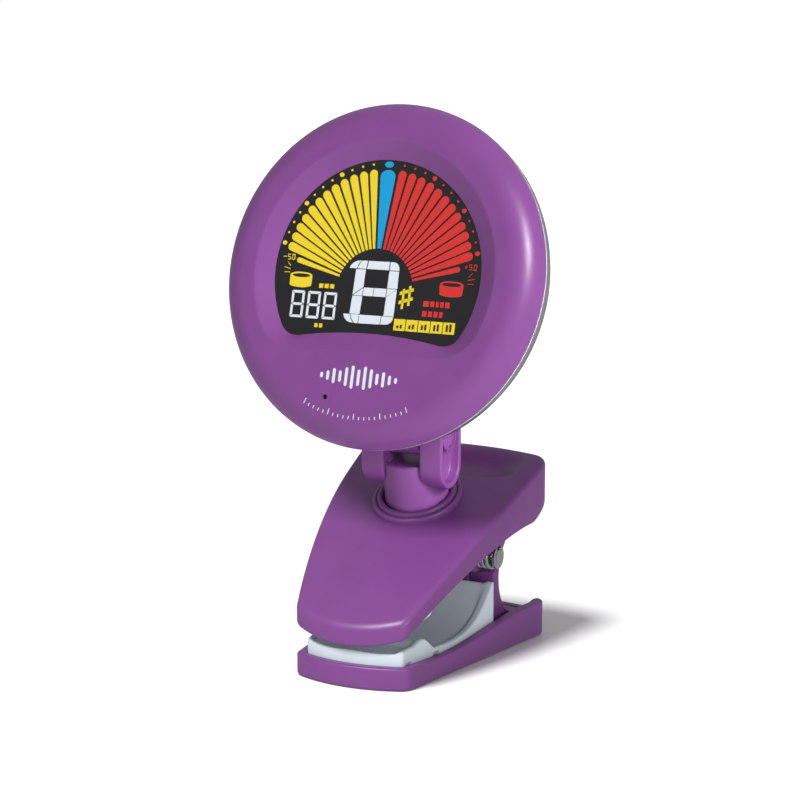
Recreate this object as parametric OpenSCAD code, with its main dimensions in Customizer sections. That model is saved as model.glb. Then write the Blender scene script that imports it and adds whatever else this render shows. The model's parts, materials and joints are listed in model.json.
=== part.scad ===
// Clip-on tuner: a round display head on a tilting, swivelling yoke above a sprung clip.
// Millimetres, +Z up, the mouth of the clip towards -Y.
// The origin is the centre of the lower jaw's flat underside.

/* [Clip] */
// Length of both jaws, mouth to finger end
clip_l = 45; // [40:0.5:50]
// Width of the jaws at the mouth
mouth_w = 21; // [18:0.5:24]
// Width of the lower jaw at the finger end
finger_w = 33; // [28:0.5:36]
// Width of the upper jaw at the finger end
lever_w = 34.6; // [30:0.2:37]
// Wall thickness of the jaws
jaw_wall = 1.8; // [1.5:0.1:2]
// Height of the hinge pin above the table
pin_z = 16.2; // [15.5:0.1:17]

/* [Swivel] */
// Forward lean of the swivel post
post_lean = 12; // [8:1:16]
// Height of the tilt hinge above the foot of the post
hinge_h = 11.3; // [11:0.1:12]
// Radius of the swivel post
post_r = 5.4; // [5:0.1:5.6]

/* [Head] */
// Outer radius of the head
head_r = 28; // [27.8:0.1:29]
// Backward lean of the head
head_tilt = 15.6; // [0:0.2:30]
// Height of the bezel face in front of the seam
bezel_h = 4.5; // [4.4:0.1:5]
// Depth of the case behind the seam
back_h = 8.9; // [8.7:0.1:10]
// Radius of the display window
window_r = 18.3; // [17:0.1:19]

/* [Controls] */
// Radius of a button cap
button_r = 2.3; // [2:0.1:2.5]
// Travel of a button
button_travel = 0.5; // [0.3:0.1:0.6]
// Radius of the battery door
door_r = 12.2; // [11.5:0.1:12.4]

/* [Hidden] */
$fn = 64;

// Gap between parts that only sit together, and radial clearance of a running fit
gap = 0.15;
fit = 0.05;

// Jaw plans: a bowed mouth edge, round corners, flaring sides and a slightly bowed finger edge
mouth_bow_r = 22.9;
mouth_corner_r = 2.5;
mouth_cx = mouth_w / 2 - mouth_corner_r;
mouth_a = asin(mouth_cx / (mouth_bow_r - mouth_corner_r));
mouth_cy = -clip_l / 2 + mouth_bow_r - (mouth_bow_r - mouth_corner_r) * cos(mouth_a);
finger_bow_r = 60;
base_corner_r = 2;
base_side_r = 3000;
lever_corner_r = 4;
lever_side_r = 135;

// Clip hinge
pin_y = 7;
pin_r = 1.2;
lug_r = 3.4;
upper_lug_x = 4.4;
lower_lug_x = 7.3;
lug_w = 2.5;
upright_x = 12;
spring_x = 10.2;
coil_r = 1.95;
wire_r = 0.4;
coil_turns = 3;

// Lower jaw
floor_z = 1.8;
rim_w = 1.6;
base_front_h = 3.5;
base_rear_h = 6;
upright_h = 19;
finger_floor = 4;
insert_inset = rim_w + gap;
insert_back_y = 8.4;
insert_top = 12.2;
peg_r = 1.5;
peg_ys = [-14, 3];

// Upper jaw: its top is the crest of a large ring that stands across the clip
top_r = 118;
crown_r = 110;
top_cy = 50;
top_cz = -83;
function top_z(y, t = 0) = top_cz + sqrt(pow(top_r - t, 2) - pow(y - top_cy, 2));

// Swivel post and tilt hinge
post_y = 3.8;
post_z = 26.2;
tilt_y = post_y - hinge_h * sin(post_lean);
tilt_z = post_z + hinge_h * cos(post_lean);
post_foot = -2.05;
post_top = 7.1;
collar_lean = 24;
collar_r = 7.6;
collar_h = 0.95;
boss_depth = 4.6;
boss_r0 = 6.4;
spigot_r = 3;
ear_r = 3.9;
ear_drop = 4.95;
ear_in = 3.3;
ear_out = 7.4;
ear_rim = 1;
ear_cup = 1.6;
hub_r = 2.5;
tilt_pin_r = 1.4;
knuckle_r = 3.6;
knuckle_w = 2.9;
arm_low = -20.5;
arm_high = -11;

// Head: in its own frame X is right, Y is up and Z points out of the display
hinge_up = -23.55;
hinge_z = -16.76;
trim_r = head_r - 0.3;
back_r = head_r - 0.5;
trim_h = 2.5;
case_wall = 1.5;
bezel_edge_r = 4.6;
back_edge_r = 7.4;
window_low = -9.5;
window_bow_r = 71;
bevel = 3.1;
lens_z = 2.9;
lens_t = 0.8;
lcd_t = 1.3;
lcd_z = lens_z - lens_t - 0.15;
diffuser_t = 1.2;
board_z = -2.6;
board_t = 1;
board_r = 25;
cell_r = 10;
cell_t = 3.2;
cell_y = 6;
lug_a = 14;
lug_gap_a = 2;
lug_as = [0, 120, 240];
door_turn = 40;
door_t = 1.1;
cell_front = -4.4;
screw_ring = 23;
screw_as = [90, 210, 330];
boss_r = 2;
screw_r = 1;
button_out = 0.8;
switch_h = 1.6;
plunger_h = 0.5;
mic_at = [-5.56, -20.4];
buzzer_at = [-9, -15];
piezo_at = [7, -12];
power_at = [-16.5, 9];
mode_at = [-16.5, -3];
up_at = [16.5, 9];
down_at = [16.5, -3];
button_spots = [power_at, mode_at, up_at, down_at];

purple = [0.53, 0.27, 0.58];
steel = [0.72, 0.73, 0.75];
gold = [0.8, 0.66, 0.3];
black = [0.1, 0.1, 0.11];
pale = [0.83, 0.86, 0.87];

// Points of an arc, without its last one
function arc(cx, cy, r, a0, a1, n) =
    [for (i = [0:n - 1]) let (a = a0 + (a1 - a0) * i / n) [cx + r * cos(a), cy + r * sin(a)]];

// Right half of a jaw plan, drawn in by o all round: w wide at the finger end with corners of
// radius fr there, and sides that are arcs of radius sr in n steps
function half_plan(o, w, fr, sr, n) =
    let (mouth = [mouth_cx, mouth_cy], fx = w / 2 - fr, fa = asin(fx / (finger_bow_r - fr)),
         finger = [fx, clip_l / 2 - finger_bow_r + (finger_bow_r - fr) * cos(fa)],
         d = norm(finger - mouth), u = (finger - mouth) / d,
         a = (pow(sr - mouth_corner_r, 2) - pow(sr - fr, 2) + d * d) / (2 * d),
         c = mouth + a * u + sqrt(pow(sr - mouth_corner_r, 2) - a * a) * [-u[1], u[0]],
         a0 = atan2(mouth[1] - c[1], mouth[0] - c[0]), a1 = atan2(finger[1] - c[1], finger[0] - c[0]))
    concat(arc(0, -clip_l / 2 + mouth_bow_r, mouth_bow_r - o, -90, -90 + mouth_a, 5),
           arc(mouth[0], mouth[1], mouth_corner_r - o, -90 + mouth_a, a0, 4),
           arc(c[0], c[1], sr - o, a0, a1, n),
           arc(finger[0], finger[1], fr - o, a1, 90 - fa, 5),
           arc(0, clip_l / 2 - finger_bow_r, finger_bow_r - o, 90 - fa, 90, 4));

module whole_plan(right, o) {
    n = len(right);
    left = [for (i = [n - 1:-1:1]) [-right[i][0], right[i][1]]];
    polygon(concat(right, [[0, clip_l / 2 - o]], left));
}

// Plan of the lower jaw
module plan(o = 0) {
    whole_plan(half_plan(o, finger_w, base_corner_r, base_side_r, 1), o);
}

// Plan of the upper jaw, its sides bowed outwards
module lever_plan(o = 0) {
    whole_plan(half_plan(o, lever_w, lever_corner_r, lever_side_r, 10), o);
}

// A side profile, its own X along the clip and its own Y up, as a slab across the clip
module across(w) {
    rotate([90, 0, 90])
        linear_extrude(w, center = true)
            children();
}

// The same slab from x0 outwards, on both sides of the clip
module both_sides(x0, w) {
    for (s = [-1, 1])
        translate([s * (x0 + w / 2), 0, 0])
            across(w)
                children();
}

// A round bar along X, centred on x = 0
module cross_bar(y, z, r, l) {
    translate([0, y, z])
        rotate([0, 90, 0])
            cylinder(r = r, h = l, center = true);
}

// Places a part made about the post's foot, with Z along the post
module on_post() {
    translate([0, post_y, post_z])
        rotate([post_lean, 0, 0])
            children();
}

// Places a part made on the sloping collar round the post
module on_collar() {
    translate([0, post_y, post_z - 0.2])
        rotate([collar_lean, 0, 0])
            children();
}

// Places a part made about the tilt hinge, its Z straight up
module on_tilt() {
    translate([0, tilt_y, tilt_z])
        children();
}

// Places a part made in the head's own frame
module in_head() {
    translate([0, tilt_y, tilt_z])
        rotate([90 - head_tilt, 0, 0])
            translate([0, -hinge_up, -hinge_z])
                children();
}

// ---- Lower jaw -------------------------------------------------------------

function base_top(y) = let (s = max(0, min(1, (y + 10) / 26)))
    base_front_h + (base_rear_h - base_front_h) * s * s * (3 - 2 * s);

module base_side() {
    half = clip_l / 2 + 1;
    tops = [for (i = [0:12]) let (y = -10 + 26 * i / 12) [y, base_top(y)]];
    polygon(concat([[-half, 0], [half, 0], [half, base_rear_h]],
                   [for (i = [12:-1:0]) tops[i]],
                   [[-half, base_front_h + 0.3]]));
}

module upright_side() {
    waist = arc(18.4, 11.5, 7.47, 124, 242, 12);
    polygon(concat([[16.4, floor_z], [8.8, floor_z], [8.8, 12.7], [9.8, 13.6], [9.8, upright_h],
                    [14.2, upright_h]], waist, [[14.9, 4.9], [16.4, 4.1]]));
}

module lower_lug_side() {
    difference() {
        union() {
            translate([pin_y, pin_z])
                circle(lug_r - 0.4);
            translate([pin_y, pin_z - lug_r + 0.4])
                square([4, 2 * lug_r - 0.8]);
        }
        translate([pin_y, pin_z])
            circle(pin_r + fit / 2);
    }
}

module lower_jaw() {
    color(purple)
        difference() {
            union() {
                intersection() {
                    linear_extrude(base_rear_h + 1)
                        plan();
                    across(2 * finger_w)
                        base_side();
                }
                both_sides(lower_lug_x, upright_x - lower_lug_x)
                    upright_side();
                both_sides(lower_lug_x, lug_w)
                    lower_lug_side();
                intersection() {
                    across(2 * lower_lug_x + 1)
                        upright_side();
                    translate([0, 12, 6.5])
                        cube([30, 12, 13], center = true);
                }
            }
            // Pocket for the insert
            intersection() {
                translate([0, 0, floor_z])
                    linear_extrude(base_rear_h)
                        plan(rim_w);
                translate([0, -clip_l / 2 + insert_back_y + gap, 5])
                    cube([2 * finger_w, clip_l, 10], center = true);
            }
            // Low, open edge at the finger end, between the side rims
            translate([0, 0, finger_floor])
                linear_extrude(base_rear_h)
                    polygon([[-13.9, 16.4], [13.9, 16.4], [15, 24], [-15, 24]]);
            for (y = peg_ys)
                translate([0, y, -1])
                    cylinder(r = peg_r + fit, h = 5);
        }
}

module insert_side() {
    hump = arc(-13.6, 5.4, 1.3, 110, 10, 5);
    seat = arc(-4.3, 15.5, 11, 264, 342, 10);
    polygon(concat([[-clip_l / 2, floor_z], [-clip_l / 2, 5.9], [-15.4, 6.4]], hump,
                   [[-11.6, 4.9], [-10.2, 4.5]], seat,
                   [[6.3, insert_top], [insert_back_y, insert_top], [insert_back_y, floor_z]]));
}

module jaw_insert() {
    color(pale) {
        difference() {
            intersection() {
                linear_extrude(insert_top + 1)
                    plan(insert_inset);
                across(2 * finger_w)
                    insert_side();
            }
            // Moulded relief notches along the lower edges
            for (y = [-17.4, -9.9])
                translate([0, y, floor_z])
                    for (s = [-1, 1])
                        translate([s * finger_w / 2, 0, 0])
                            cube([finger_w / 2, 1.6, 4], center = true);
        }
        for (y = peg_ys)
            translate([0, y, 0.3])
                cylinder(r = peg_r, h = floor_z);
    }
}

module pivot_pin() {
    l = 2 * (spring_x + 3.5);
    color(steel)
        union() {
            cross_bar(pin_y, pin_z, pin_r, l);
            translate([-l / 2 - 0.25, 0, 0])
                cross_bar(pin_y, pin_z, 2, 0.5);
        }
}

module pin_clip() {
    color(steel)
        difference() {
            translate([spring_x + 3.25, 0, 0])
                cross_bar(pin_y, pin_z, 2, 0.4);
            cross_bar(pin_y, pin_z, pin_r + 0.02, 40);
            translate([spring_x + 3.25, pin_y, pin_z + 1.5])
                cube([2, 1.6, 3], center = true);
        }
}

// One torsion spring: coils on the pin and a leg to each jaw
module torsion_spring() {
    pitch = 1.8 * wire_r;
    inner_x = spring_x + wire_r;
    outer_x = inner_x + coil_turns * pitch;
    translate([inner_x, pin_y, pin_z])
        rotate([0, 90, 0])
            rotate_extrude()
                for (i = [0:coil_turns])
                    translate([coil_r, i * pitch])
                        circle(wire_r, $fn = 16);
    // Leg up the inside of the upper jaw
    translate([inner_x, pin_y - coil_r, pin_z])
        rotate([-12, 0, 0])
            cylinder(r = wire_r, h = 7, $fn = 24);
    // Leg down the front of the upright
    translate([outer_x, pin_y + coil_r - 0.15, pin_z])
        rotate([180, 0, 0])
            cylinder(r = wire_r, h = 3, $fn = 24);
}

module spring_right() {
    color(steel)
        torsion_spring();
}

module spring_left() {
    color(steel)
        mirror([1, 0, 0])
            torsion_spring();
}

// ---- Upper jaw -------------------------------------------------------------

// Everything under the crowned top, lowered by t
module under_top(t = 0) {
    translate([0, top_cy, top_cz])
        rotate([0, 90, 0])
            rotate([0, 0, 195])
                rotate_extrude(angle = 25, $fn = 200)
                    intersection() {
                        translate([top_r - crown_r, 0])
                            circle(crown_r - t);
                        translate([top_r - 45, -lever_w])
                            square([50, 2 * lever_w]);
                    }
}

// Side profile of the upper jaw, up to a flat above its top
module jaw_side() {
    polygon([[-24, 40], [23, 40], [23, 25.8], [20.5, 25.2], [19.2, 24.4], [18.1, 23.2], [16.4, 21.9],
             [13.4, 20.8], [8.3, 20], [5.4, 19.6], [-0.4, 18.1], [-5.5, 16.4], [-9.6, 14.6], [-13.2, 12.8],
             [-17.3, 10.1], [-20, 8.3], [-24, 5.8]]);
}

module lip_side() {
    polygon([[17, 28.5], [19.2, 30.2], [20.4, 31.4], [21.4, 31.9], [22.3, 31.7], [22.6, 31], [22.6, 29]]);
}

module upper_lug_side() {
    translate([pin_y, pin_z])
        circle(lug_r);
    translate([pin_y - lug_r, pin_z])
        square([2 * lug_r, 10]);
}

module upper_jaw() {
    color(purple)
        difference() {
            union() {
                difference() {
                    intersection() {
                        linear_extrude(40)
                            lever_plan();
                        across(2 * lever_w)
                            jaw_side();
                        under_top();
                    }
                    intersection() {
                        linear_extrude(40)
                            lever_plan(jaw_wall);
                        under_top(jaw_wall);
                    }
                }
                // Lip along the finger end
                intersection() {
                    linear_extrude(40)
                        lever_plan();
                    across(2 * lever_w - 12)
                        lip_side();
                }
                intersection() {
                    both_sides(upper_lug_x, lug_w)
                        upper_lug_side();
                    under_top(jaw_wall / 2);
                }
                // Boss under the top and stepped collar on it
                on_post()
                    translate([0, 0, -boss_depth])
                        cylinder(r = boss_r0, h = boss_depth - 1);
                on_collar() {
                    translate([0, 0, -2])
                        cylinder(r = collar_r, h = 2 + collar_h / 2);
                    cylinder(r = collar_r - 0.9, h = collar_h);
                }
            }
            cross_bar(pin_y, pin_z, pin_r + fit, 30);
            // Socket of the post, bore of its spigot, and room for the screw under them
            on_post() {
                translate([0, 0, post_foot - gap])
                    cylinder(r = post_r + 0.25, h = 10);
                translate([0, 0, -boss_depth - 6])
                    cylinder(r = spigot_r + fit, h = 10);
                translate([0, 0, -boss_depth - 6])
                    cylinder(r = upper_lug_x - 0.1, h = 6);
            }
            // Finger dish
            cross_bar(14.6, top_z(14.6) + 6.4, 7.2, 17);
        }
}

module upper_pad() {
    color(pale)
        intersection() {
            linear_extrude(40)
                lever_plan(jaw_wall + gap);
            across(2 * lever_w)
                polygon([[-20.2, 8.5], [-17, 9.3], [-12.6, 10.6], [-11.4, 12], [-11.4, 30], [-20.2, 30]]);
            under_top(jaw_wall + gap);
        }
}

// ---- Swivel and tilt -------------------------------------------------------

// Side view of an ear: a long rounded tab that hangs from the tilt hinge
module ear_side(r) {
    circle(r);
    translate([0, -ear_drop])
        circle(r);
    translate([-r, -ear_drop])
        square([2 * r, ear_drop]);
}

module swivel_yoke() {
    color(purple)
        difference() {
            union() {
                on_post() {
                    translate([0, 0, post_foot])
                        cylinder(r = post_r, h = post_top - post_foot);
                    translate([0, 0, -boss_depth - 0.5])
                        cylinder(r = spigot_r, h = boss_depth);
                }
                on_tilt()
                    both_sides(ear_in, ear_out - ear_in)
                        ear_side(ear_r);
            }
            // Cups in the outer faces of the ears, round the hubs
            on_tilt()
                both_sides(ear_out - ear_cup, ear_cup + 1)
                    difference() {
                        ear_side(ear_r - ear_rim);
                        circle(hub_r);
                    }
            // Seats of the screw head and the nut in the hubs
            on_tilt()
                both_sides(ear_out - ear_cup, ear_cup + 1)
                    circle(hub_r - 0.6);
            cross_bar(tilt_y, tilt_z, tilt_pin_r + fit, 20);
            // Pilot hole of the swivel screw
            on_post()
                translate([0, 0, -boss_depth - 2])
                    cylinder(r = 1.1, h = 7);
        }
}

module swivel_screw() {
    color(steel)
        on_post() {
            translate([0, 0, -boss_depth - 1.2])
                cylinder(r = 1.05, h = 5.5);
            difference() {
                translate([0, 0, -boss_depth - 2.6])
                    cylinder(r = 2.3, h = 1.4);
                translate([0, 0, -boss_depth - 2.7])
                    linear_extrude(0.8)
                        union() {
                            square([2.6, 0.6], center = true);
                            square([0.6, 2.6], center = true);
                        }
            }
        }
}

module swivel_washer() {
    color(steel)
        on_post()
            translate([0, 0, -boss_depth - 1.1])
                difference() {
                    cylinder(r = 4, h = 0.5);
                    translate([0, 0, -1])
                        cylinder(r = 1.2, h = 3);
                }
}

module wave_washer() {
    color(steel)
        on_post()
            translate([0, 0, -boss_depth - 0.45])
                difference() {
                    cylinder(r = 4.1, h = 0.35);
                    translate([0, 0, -1])
                        cylinder(r = spigot_r + 0.1, h = 3);
                }
}

module tilt_screw() {
    color(steel)
        difference() {
            union() {
                cross_bar(tilt_y, tilt_z, tilt_pin_r, 2 * (ear_out - ear_cup) + 1.4);
                translate([ear_out - ear_cup + 0.6, 0, 0])
                    cross_bar(tilt_y, tilt_z, hub_r - 0.7, 1);
            }
            translate([ear_out - ear_cup + 1, tilt_y, tilt_z])
                cube([0.9, 2.6, 0.5], center = true);
        }
}

module tilt_nut() {
    color(steel)
        translate([-ear_out + ear_cup - 0.65, tilt_y, tilt_z])
            rotate([0, 90, 0])
                difference() {
                    cylinder(r = hub_r - 0.65, h = 1, center = true, $fn = 6);
                    cylinder(r = tilt_pin_r + 0.02, h = 3, center = true);
                }
}

module tilt_washers() {
    color(steel)
        for (s = [-1, 1])
            translate([s * (knuckle_w + ear_in) / 2, 0, 0])
                difference() {
                    cross_bar(tilt_y, tilt_z, 3.2, 0.3);
                    cross_bar(tilt_y, tilt_z, tilt_pin_r + 0.1, 1);
                }
}

// ---- Head: shells ----------------------------------------------------------

// The bezel's half section, drawn in by o
module bezel_half(o) {
    edge = arc(head_r - bezel_edge_r, bezel_h - bezel_edge_r, bezel_edge_r - o,
               asin((bezel_edge_r - bezel_h) / (bezel_edge_r - o)), 90, 12);
    polygon(concat([[0, 0]], edge, [[head_r - bezel_edge_r, bezel_h - o], [0, bezel_h - o]]));
}

// Fan-shaped window, its sides flaring forwards from z0 by g over the height h
module window_flare(z0, h, r, g, low) {
    translate([0, 0, z0])
        difference() {
            cylinder(r1 = r, r2 = r + g, h = h, $fn = 96);
            translate([0, low - window_bow_r, -1])
                cylinder(r1 = window_bow_r + g / h, r2 = window_bow_r - g - g / h, h = h + 2, $fn = 180);
        }
}

module front_bezel() {
    color(purple)
        in_head() difference() {
            union() {
                difference() {
                    rotate_extrude($fn = 96)
                        bezel_half(0);
                    rotate_extrude($fn = 96)
                        translate([0, -0.01])
                            bezel_half(bezel_h - lens_z);
                }
                // Screw posts, with a shoulder that the board rests on
                for (a = screw_as)
                    rotate([0, 0, a])
                        translate([screw_ring, 0, board_z]) {
                            translate([0, 0, -1.6])
                                cylinder(r = boss_r, h = 7.4);
                            translate([0, 0, 0.02])
                                cylinder(r = boss_r + 1, h = 5.8);
                        }
            }
            window_flare(lens_z - 0.01, bezel_h - lens_z + 0.02, window_r, bevel, window_low);
            for (a = screw_as)
                rotate([0, 0, a])
                    translate([screw_ring, 0, board_z - 3])
                        cylinder(r = screw_r, h = 6);
            translate([mic_at[0], mic_at[1], -1])
                cylinder(r = 0.45, h = 10, $fn = 24);
        }
}

module trim_ring() {
    color(steel)
        in_head() difference() {
            translate([0, 0, -trim_h])
                cylinder(r = trim_r, h = trim_h - 0.02);
            translate([0, 0, -trim_h - 1])
                cylinder(r = trim_r - 1.7, h = trim_h + 2);
        }
}

// The back cover's half section, drawn in by o
module back_half(o) {
    edge = arc(back_r - back_edge_r, -back_h + back_edge_r, back_edge_r - o,
               -asin((back_edge_r - back_h + trim_h + 0.02) / (back_edge_r - o)), -90, 12);
    polygon(concat([[0, -trim_h - 0.02]], edge, [[back_r - back_edge_r, -back_h + o], [0, -back_h + o]]));
}

// Part of a ring, from angle a0 to a1, r0 to r1 and z0 upwards by h
module door_sector(a0, a1, r0, r1, z0, h) {
    translate([0, 0, z0])
        rotate([0, 0, a0])
            rotate_extrude(angle = a1 - a0, $fn = 96)
                translate([r0, 0])
                    square([r1 - r0, h]);
}

// Where a line from p touches the circle at c with radius r, on one side (1 or -1)
function touch(c, r, p, side) =
    let (d = p - c, a = atan2(d[1], d[0]) + side * acos(r / norm(d)))
    c + r * [cos(a), sin(a)];

// Side view of the arm: its X is how far back it reaches from the seam, its Y is up
module arm_side() {
    barrel = [-hinge_z, hinge_up];
    low = [back_h - 0.6, arm_low];
    high = [back_h - 0.6, arm_high];
    translate(barrel)
        circle(knuckle_r);
    polygon([low, touch(barrel, knuckle_r, low, 1), barrel, touch(barrel, knuckle_r, high, -1), high]);
}

module back_cover() {
    color(purple)
        in_head() difference() {
            union() {
                difference() {
                    rotate_extrude($fn = 96)
                        back_half(0);
                    rotate_extrude($fn = 96)
                        back_half(case_wall);
                }
                // Screw posts
                intersection() {
                    for (a = screw_as)
                        rotate([0, 0, a])
                            translate([screw_ring, 0, -back_h])
                                cylinder(r = boss_r + 0.4, h = back_h + board_z - 1.8);
                    rotate_extrude($fn = 96)
                        back_half(case_wall / 2);
                }
                // Ring round the battery well
                translate([0, cell_y, -back_h + 0.4])
                    cylinder(r = door_r + 1.5, h = 2.4);
                // Arm and barrel of the tilt hinge
                rotate([0, -90, 0])
                    linear_extrude(2 * knuckle_w, center = true)
                        mirror([1, 0])
                            arm_side();
            }
            // Battery well: a seat for the door over a round hole for the cell
            translate([0, cell_y, -back_h - 1])
                cylinder(r = door_r + 0.15, h = 2.4);
            translate([0, cell_y, -back_h - 1])
                cylinder(r = cell_r + 0.5, h = 6);
            // Slots that the door's lugs turn in, each with an entry notch
            for (a = lug_as)
                translate([0, cell_y, 0])
                    rotate([0, 0, a]) {
                        door_sector(-lug_gap_a, lug_a + door_turn + lug_gap_a, door_r - 1, door_r + 0.9,
                                    -back_h + 0.45, 0.85);
                        door_sector(door_turn - lug_gap_a, door_turn + lug_a + 1, door_r - 1.5,
                                    door_r + 0.8, -back_h - 0.5, 1.3);
                    }
            for (p = button_spots)
                translate([p[0], p[1], -back_h - 1])
                    cylinder(r = button_r + fit, h = 4);
            for (a = screw_as)
                rotate([0, 0, a])
                    translate([screw_ring, 0, -back_h - 1]) {
                        cylinder(r = screw_r + 0.15, h = 8);
                        cylinder(r = 1.9, h = 4);
                    }
            translate([0, hinge_up, hinge_z])
                rotate([0, 90, 0])
                    cylinder(r = tilt_pin_r + fit, h = 20, center = true);
        }
}

// ---- Head: display ---------------------------------------------------------

// A flat plate with the window's outline, grown by g, its low edge raised by lift
module window_plate(z_front, t, g, lift) {
    translate([0, 0, z_front - t])
        difference() {
            cylinder(r = window_r + g, h = t, $fn = 96);
            translate([0, window_low + lift - window_bow_r, -1])
                cylinder(r = window_bow_r, h = t + 2, $fn = 180);
        }
}

module display_lens() {
    color(black)
        in_head()
            window_plate(lens_z - 0.05, lens_t, 1.6, -1.6);
}

module lcd_panel() {
    color([0.2, 0.22, 0.22])
        in_head()
            window_plate(lcd_z, lcd_t, 0.8, -0.8);
}

module light_diffuser() {
    color([0.95, 0.95, 0.92])
        in_head()
            window_plate(lcd_z - lcd_t - 0.1, diffuser_t, 0.6, 2.1);
}

module backlight_leds() {
    color([0.95, 0.9, 0.6])
        in_head()
            for (x = [-10, 0, 10])
                translate([x, 8 - abs(x) / 3, board_z + 0.5])
                    cube([2, 1.4, 1], center = true);
}

module zebra_strips() {
    h = lcd_z - lcd_t - board_z;
    color([0.3, 0.3, 0.32])
        in_head()
            for (s = [-1, 1])
                translate([s * 5.8, -9.2, board_z + h / 2])
                    cube([10.6, 1.3, h - 0.04], center = true);
}

// ---- Head: electronics -----------------------------------------------------

module circuit_board() {
    color([0.1, 0.35, 0.2])
        in_head()
            difference() {
                translate([0, 0, board_z - board_t])
                    cylinder(r = board_r, h = board_t, $fn = 96);
                for (a = screw_as)
                    rotate([0, 0, a])
                        translate([screw_ring, 0, board_z - 3])
                            cylinder(r = boss_r + gap, h = 5);
            }
}

module controller_chip() {
    color(black)
        in_head() {
            translate([2, -17, board_z + 0.65])
                cube([7, 7, 0.9], center = true);
            for (a = [0:90:270])
                translate([2, -17, board_z + 0.1])
                    rotate([0, 0, a])
                        for (i = [-3:3])
                            translate([i * 0.9, 3.9, 0])
                                cube([0.4, 1.2, 0.2], center = true);
        }
}

module small_parts() {
    color([0.75, 0.68, 0.55])
        in_head() {
            // Chip capacitors and resistors in front of the board
            for (i = [1:5])
                translate([-4.6 + i * 2.2, -22.4, board_z + 0.3])
                    cube([1.2, 0.7, 0.6], center = true);
            for (i = [0:3])
                translate([11, -20 + i * 2.4, board_z + 0.3])
                    cube([0.7, 1.2, 0.6], center = true);
            // Crystal
            translate([-6, -13.6, board_z + 0.6])
                cube([2, 5, 1.2], center = true);
            // Amplifier of the pickup, behind the board
            translate([0, -8, board_z - board_t - 0.5])
                cube([5, 4, 1], center = true);
        }
}

module microphone() {
    color(steel)
        in_head()
            translate([mic_at[0], mic_at[1], board_z])
                difference() {
                    cylinder(r = 2, h = 1.5);
                    translate([0, 0, 1.1])
                        cylinder(r = 0.5, h = 1);
                }
}

module buzzer() {
    color(black)
        in_head()
            translate([buzzer_at[0], buzzer_at[1], board_z - board_t - 2.2])
                difference() {
                    cylinder(r = 5, h = 2.2);
                    translate([0, 0, -1])
                        cylinder(r = 0.9, h = 1.6);
                }
}

module piezo_pickup() {
    color(gold)
        in_head()
            translate([piezo_at[0], piezo_at[1], -back_h + case_wall + 0.02]) {
                cylinder(r = 5, h = 0.2);
                translate([0, 0, 0.2])
                    cylinder(r = 3.6, h = 0.2);
            }
}

module tact_switches() {
    color(black)
        in_head()
            for (p = button_spots)
                translate([p[0], p[1], board_z - board_t]) {
                    translate([0, 0, -switch_h / 2])
                        cube([4.4, 4.4, switch_h], center = true);
                    translate([0, 0, -switch_h - plunger_h])
                        cylinder(r = 1.2, h = plunger_h + 0.5);
                }
}

// ---- Head: battery ---------------------------------------------------------

module coin_cell() {
    color(steel)
        in_head()
            translate([0, cell_y, cell_front - cell_t]) {
                cylinder(r = cell_r, h = cell_t - 0.5);
                cylinder(r = cell_r - 1.4, h = cell_t);
            }
}

module cell_spring() {
    color(gold)
        in_head()
            translate([0, cell_y, board_z - board_t]) {
                translate([0, 0, -0.1])
                    cube([6, 8, 0.2], center = true);
                for (s = [-1, 1])
                    translate([s * 1.6, 0.4, -0.44])
                        rotate([4, 0, 0])
                            cube([1.6, 6, 0.2], center = true);
            }
}

module cell_rim_contact() {
    h = 2.3;
    color(gold)
        in_head()
            translate([0, cell_y, board_z - board_t - h]) {
                for (s = [0, 1])
                    mirror([s, 0, 0])
                        rotate([0, 0, -25])
                            rotate_extrude(angle = 50, $fn = 96)
                                translate([cell_r + 0.1, 0])
                                    square([0.3, h]);
                for (s = [-1, 1])
                    translate([s * (cell_r + 1), 0, h - 0.1])
                        cube([1.6, 4, 0.2], center = true);
            }
}

module battery_door() {
    color(purple)
        in_head()
            translate([0, cell_y, 0])
                difference() {
                    union() {
                        translate([0, 0, -back_h])
                            cylinder(r = door_r, h = door_t);
                        for (a = lug_as)
                            rotate([0, 0, a])
                                door_sector(0, lug_a, door_r - 0.5, door_r + 0.7, -back_h + 0.55, 0.55);
                    }
                    // Coin slot
                    translate([0, 0, -back_h])
                        cube([14, 2, 1.2], center = true);
                }
}

module door_seal() {
    color(black)
        in_head()
            translate([0, cell_y, -back_h + door_t + 0.02])
                difference() {
                    cylinder(r = door_r - 0.3, h = 0.24);
                    translate([0, 0, -1])
                        cylinder(r = cell_r + 0.6, h = 3);
                }
}

// ---- Head: controls and fasteners ------------------------------------------

module button(at) {
    in_head()
        translate([at[0], at[1], -back_h]) {
            translate([0, 0, -button_out])
                cylinder(r = button_r, h = button_out + 2.4);
            translate([0, 0, case_wall + 0.3])
                cylinder(r = button_r + 0.6, h = 0.6);
            // Stem down to just above the switch
            cylinder(r = 1.1, h = back_h + board_z - board_t - switch_h - plunger_h - button_travel - fit);
        }
}

module power_button() {
    color(black)
        button(power_at);
}

module mode_button() {
    color(black)
        button(mode_at);
}

module up_button() {
    color(black)
        button(up_at);
}

module down_button() {
    color(black)
        button(down_at);
}

module case_screws() {
    color(steel)
        in_head()
            for (a = screw_as)
                rotate([0, 0, a])
                    translate([screw_ring, 0, -back_h + 3])
                        difference() {
                            union() {
                                cylinder(r = screw_r - fit, h = 5.5);
                                translate([0, 0, -1.2])
                                    cylinder(r = 1.7, h = 1.2);
                            }
                            translate([0, 0, -1.3])
                                linear_extrude(0.7)
                                    union() {
                                        square([2, 0.5], center = true);
                                        square([0.5, 2], center = true);
                                    }
                        }
}

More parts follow.
